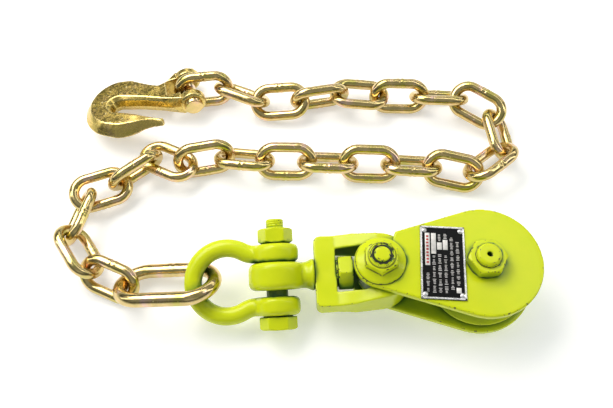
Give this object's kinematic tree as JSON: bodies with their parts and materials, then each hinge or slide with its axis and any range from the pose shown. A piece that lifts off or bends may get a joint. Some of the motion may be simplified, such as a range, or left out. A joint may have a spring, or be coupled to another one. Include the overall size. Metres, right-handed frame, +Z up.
{
  "type": "snatch block with chain and grab hook",
  "caption": "Snatch block with a grooved sheave between two cheek plates, a swivel shackle, a master link and a welded chain that ends in a clevis grab hook.",
  "frame": {"origin": "on the sheave axle, at the face of the axle bolt head that rests on the floor", "axes": "+X from the pivot bolt towards the sheave end of the block, +Y across the block towards the side where the chain is laid, +Z up along the sheave axle, away from the floor"},
  "size_m": [0.3657, 0.2395, 0.06],
  "materials": {
    "yellow_green_paint": "gloss",
    "yellow_zinc_plating": "satin",
    "forged_zinc_plating": "satin",
    "bearing_bronze": "satin",
    "black_nylon": "matte",
    "black_nameplate": "satin",
    "bare_rivet": "satin",
    "spring_steel": "satin"
  },
  "bodies": {
    "block_frame": {"rear_cheek_plate": "yellow_green_paint", "axle_bolt": "yellow_green_paint", "axle_nut": "yellow_green_paint", "pivot_bolt": "yellow_green_paint", "pivot_flange_nut": "yellow_green_paint", "nylon_lock_ring": "black_nylon"},
    "rope_sheave": {"sheave": "yellow_green_paint", "sheave_bushing": "bearing_bronze"},
    "swing_cheek": {"front_cheek_plate": "yellow_green_paint", "nameplate": "black_nameplate", "nameplate_rivets": "bare_rivet"},
    "yoke_arm": {"yoke": "yellow_green_paint"},
    "swivel": {"swivel_eye": "yellow_green_paint", "swivel_washer": "yellow_green_paint", "swivel_nut": "yellow_green_paint"},
    "shackle": {"shackle_bow": "yellow_green_paint", "shackle_bolt": "yellow_green_paint", "shackle_nut": "yellow_green_paint"},
    "master_ring": {"master_link": "yellow_zinc_plating"},
    "link_01": {"chain_link_01": "yellow_zinc_plating"},
    "link_02": {"chain_link_02": "yellow_zinc_plating"},
    "link_03": {"chain_link_03": "yellow_zinc_plating"},
    "link_04": {"chain_link_04": "yellow_zinc_plating"},
    "link_05": {"chain_link_05": "yellow_zinc_plating"},
    "link_06": {"chain_link_06": "yellow_zinc_plating"},
    "link_07": {"chain_link_07": "yellow_zinc_plating"},
    "link_08": {"chain_link_08": "yellow_zinc_plating"},
    "link_09": {"chain_link_09": "yellow_zinc_plating"},
    "link_10": {"chain_link_10": "yellow_zinc_plating"},
    "link_11": {"chain_link_11": "yellow_zinc_plating"},
    "link_12": {"chain_link_12": "yellow_zinc_plating"},
    "link_13": {"chain_link_13": "yellow_zinc_plating"},
    "link_14": {"chain_link_14": "yellow_zinc_plating"},
    "link_15": {"chain_link_15": "yellow_zinc_plating"},
    "link_16": {"chain_link_16": "yellow_zinc_plating"},
    "link_17": {"chain_link_17": "yellow_zinc_plating"},
    "link_18": {"chain_link_18": "yellow_zinc_plating"},
    "link_19": {"chain_link_19": "yellow_zinc_plating"},
    "link_20": {"chain_link_20": "yellow_zinc_plating"},
    "link_21": {"chain_link_21": "yellow_zinc_plating"},
    "link_22": {"chain_link_22": "yellow_zinc_plating"},
    "link_23": {"chain_link_23": "yellow_zinc_plating"},
    "hook": {"grab_hook": "forged_zinc_plating", "clevis_pin": "yellow_zinc_plating", "clevis_cotter": "spring_steel"}
  },
  "joints": [
    {"name": "sheave_spin", "type": "hinge", "parent": "block_frame", "child": "rope_sheave", "pos_m": [0, 0, 0.026], "axis": [0, 0, 1], "continuous": true},
    {"name": "cheek_swing", "type": "hinge", "parent": "block_frame", "child": "swing_cheek", "pos_m": [0, 0, 0.04325], "axis": [0, 0, 1], "range_deg": [0, 100]},
    {"name": "yoke_swing", "type": "hinge", "parent": "block_frame", "child": "yoke_arm", "pos_m": [-0.075, 0, 0.026], "axis": [0, 0, 1], "range_deg": [-20, 90]},
    {"name": "swivel_turn", "type": "hinge", "parent": "yoke_arm", "child": "swivel", "pos_m": [-0.1499, -0.00393, 0.026], "axis": [-0.9986, -0.0523, 0], "continuous": true},
    {"name": "shackle_tilt", "type": "hinge", "parent": "swivel", "child": "shackle", "pos_m": [-0.14978, -0.00618, 0.02518], "axis": [-0.0492, 0.9384, 0.342], "range_deg": [-80, 80]},
    {"name": "master_tilt", "type": "hinge", "parent": "shackle", "child": "master_ring", "pos_m": [-0.21114, -0.00939, 0.02518], "axis": [0.0492, -0.9384, -0.342], "range_deg": [-40, 10]},
    {"name": "link_01_tilt", "type": "hinge", "parent": "master_ring", "child": "link_01", "pos_m": [-0.26636, -0.00731, 0.0146], "axis": [-0.1339, -0.8345, 0.5345], "range_deg": [-45, 60]},
    {"name": "link_02_tilt", "type": "hinge", "parent": "link_01", "child": "link_02", "pos_m": [-0.29597, 0.00754, 0.0129], "axis": [-0.2901, -0.6583, -0.6947], "range_deg": [-60, 8.5]},
    {"name": "link_03_tilt", "type": "hinge", "parent": "link_02", "child": "link_03", "pos_m": [-0.3132, 0.03772, 0.01726], "axis": [-0.5543, -0.4204, 0.7183], "range_deg": [-55.2, 5]},
    {"name": "link_04_tilt", "type": "hinge", "parent": "link_03", "child": "link_04", "pos_m": [-0.29981, 0.07112, 0.01471], "axis": [-0.5111, 0.1401, -0.848], "range_deg": [-3, 7]},
    {"name": "link_05_tilt", "type": "hinge", "parent": "link_04", "child": "link_05", "pos_m": [-0.27212, 0.08277, 0.01217], "axis": [-0.3413, 0.8989, 0.2749], "range_deg": [-55.2, 12.8]},
    {"name": "link_06_tilt", "type": "hinge", "parent": "link_05", "child": "link_06", "pos_m": [-0.24873, 0.10417, 0.01624], "axis": [0.1291, -0.163, 0.9781], "range_deg": [-7, 1]},
    {"name": "link_07_tilt", "type": "hinge", "parent": "link_06", "child": "link_07", "pos_m": [-0.22132, 0.09192, 0.014], "axis": [0.4407, 0.8868, -0.139], "range_deg": [-17, 6]},
    {"name": "link_08_tilt", "type": "hinge", "parent": "link_07", "child": "link_08", "pos_m": [-0.19001, 0.10666, 0.01546], "axis": [0.0883, -0.4294, -0.8988], "range_deg": [-6, 8.5]},
    {"name": "link_09_tilt", "type": "hinge", "parent": "link_08", "child": "link_09", "pos_m": [-0.15758, 0.10084, 0.01356], "axis": [0.1272, 0.7995, -0.5871], "range_deg": [-60, 60]},
    {"name": "link_10_tilt", "type": "hinge", "parent": "link_09", "child": "link_10", "pos_m": [-0.12347, 0.10092, 0.01304], "axis": [-0.0091, -0.7071, -0.7071], "range_deg": [-60, 17]},
    {"name": "link_11_tilt", "type": "hinge", "parent": "link_10", "child": "link_11", "pos_m": [-0.08944, 0.09961, 0.0126], "axis": [-0.0221, -0.7877, 0.6156], "range_deg": [-60, 60]},
    {"name": "link_12_tilt", "type": "hinge", "parent": "link_11", "child": "link_12", "pos_m": [-0.05542, 0.0984, 0.0126], "axis": [-0.0266, -0.7427, -0.6691], "range_deg": [-60, 60]},
    {"name": "link_13_tilt", "type": "hinge", "parent": "link_12", "child": "link_13", "pos_m": [-0.02142, 0.0965, 0.01196], "axis": [0.0325, 0.7874, -0.6156], "range_deg": [-60, 60]},
    {"name": "link_14_tilt", "type": "hinge", "parent": "link_13", "child": "link_14", "pos_m": [0.01151, 0.08738, 0.0126], "axis": [0.1865, 0.7194, 0.6691], "range_deg": [-60, 17]},
    {"name": "link_15_tilt", "type": "hinge", "parent": "link_14", "child": "link_15", "pos_m": [0.0377, 0.11184, 0.01714], "axis": [0.4783, -0.6263, 0.6156], "range_deg": [-51, 3]},
    {"name": "link_16_tilt", "type": "hinge", "parent": "link_15", "child": "link_16", "pos_m": [0.02854, 0.14736, 0.0129], "axis": [0.7123, 0.1006, -0.6947], "range_deg": [-2, 60]},
    {"name": "link_17_tilt", "type": "hinge", "parent": "link_16", "child": "link_17", "pos_m": [-0.00128, 0.16635, 0.01607], "axis": [0.5023, 0.7055, 0.4999], "range_deg": [-60, 8.5]},
    {"name": "link_18_tilt", "type": "hinge", "parent": "link_17", "child": "link_18", "pos_m": [-0.03648, 0.16352, 0.01517], "axis": [-0.0403, 0.7193, -0.6935], "range_deg": [-38.2, 60]},
    {"name": "link_19_tilt", "type": "hinge", "parent": "link_18", "child": "link_19", "pos_m": [-0.07053, 0.1645, 0.01512], "axis": [-0.0122, -0.4693, -0.8829], "range_deg": [-9, 12.8]},
    {"name": "link_20_tilt", "type": "hinge", "parent": "link_19", "child": "link_20", "pos_m": [-0.10447, 0.16695, 0.01668], "axis": [-0.063, -0.9828, 0.1736], "range_deg": [-7, 60]},
    {"name": "link_21_tilt", "type": "hinge", "parent": "link_20", "child": "link_21", "pos_m": [-0.1379, 0.15896, 0.01639], "axis": [-0.024, 0.1371, -0.9903], "range_deg": [-4, 60]},
    {"name": "link_22_tilt", "type": "hinge", "parent": "link_21", "child": "link_22", "pos_m": [-0.17165, 0.15953, 0.01103], "axis": [-0.0538, 0.8988, 0.4351], "range_deg": [-6, 60]},
    {"name": "link_23_tilt", "type": "hinge", "parent": "link_22", "child": "link_23", "pos_m": [-0.2027, 0.17547, 0.01349], "axis": [-0.2713, -0.6395, 0.7193], "range_deg": [-8.5, 8.5]},
    {"name": "hook_tilt", "type": "hinge", "parent": "link_23", "child": "hook", "pos_m": [-0.22774, 0.17088, 0.01433], "axis": [-0.2626, 0.9423, -0.2078], "range_deg": [-33, 75]}
  ]
}
